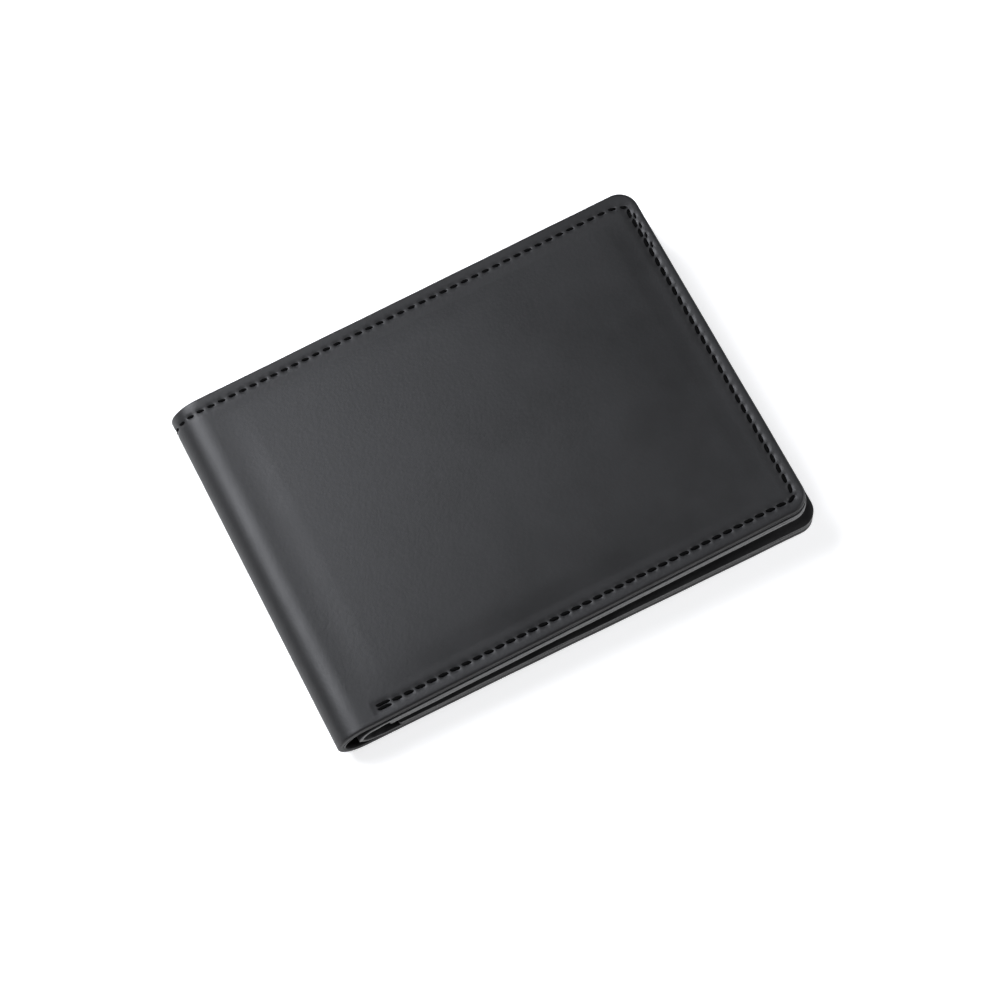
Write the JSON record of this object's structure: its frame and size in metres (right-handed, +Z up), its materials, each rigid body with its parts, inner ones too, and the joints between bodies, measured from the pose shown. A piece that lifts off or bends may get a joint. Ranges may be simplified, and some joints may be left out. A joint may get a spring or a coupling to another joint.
{
  "type": "bifold wallet",
  "caption": "Slim bifold wallet in smooth black leather with stitched edges, card pockets on both inner halves and a full-length bill compartment.",
  "frame": {"origin": "centre of the closed wallet's footprint, on the surface it lies on", "axes": "+X from the fold to the free edge, +Y from the sewn bottom edge to the bill opening, +Z up through the closed wallet"},
  "size_m": [0.1173, 0.0856, 0.0153],
  "materials": {
    "black_shell_leather": "smooth satin",
    "black_lining_leather": "matte",
    "black_wall_leather": "smooth satin",
    "black_pocket_leather": "smooth satin",
    "black_pocket_cloth": "woven",
    "black_thread": "twisted"
  },
  "bodies": {
    "back_half": {"back_bill_wall": "black_wall_leather", "back_card_backing": "black_pocket_leather", "back_centre_seam": "black_thread", "back_cover": "black_shell_leather", "back_cover_lining": "black_lining_leather", "back_edge_seam": "black_thread", "back_lining_seams": "black_thread", "back_lower_pocket": "black_pocket_leather", "back_middle_pocket": "black_pocket_leather", "back_middle_pocket_lining": "black_pocket_cloth", "back_top_seam": "black_thread", "back_upper_pocket": "black_pocket_leather", "back_upper_pocket_lining": "black_pocket_cloth", "back_wall_fold": "black_wall_leather"},
    "spine": {"spine_leather": "black_shell_leather", "spine_lining": "black_lining_leather", "spine_seam": "black_thread"},
    "front_half": {"front_bill_wall": "black_wall_leather", "front_card_backing": "black_pocket_leather", "front_centre_seam": "black_thread", "front_cover": "black_shell_leather", "front_cover_lining": "black_lining_leather", "front_edge_seam": "black_thread", "front_lining_seams": "black_thread", "front_lower_pocket": "black_pocket_leather", "front_middle_pocket": "black_pocket_leather", "front_middle_pocket_lining": "black_pocket_cloth", "front_top_seam": "black_thread", "front_upper_pocket": "black_pocket_leather", "front_upper_pocket_lining": "black_pocket_cloth", "front_wall_fold": "black_wall_leather"}
  },
  "joints": [
    {"name": "fold_hinge", "type": "hinge", "parent": "back_half", "child": "spine", "pos_m": [-0.05669, 0, 0.00129], "axis": [0, -1, 0], "range_deg": [0, 88.9]},
    {"name": "front_hinge", "type": "hinge", "parent": "spine", "child": "front_half", "pos_m": [-0.05685, 0, 0.00971], "axis": [0, -1, 0], "range_deg": [0, 88.95]}
  ],
  "couplings": [
    {"joint": "front_hinge", "follows": "fold_hinge", "ratio": 1}
  ]
}
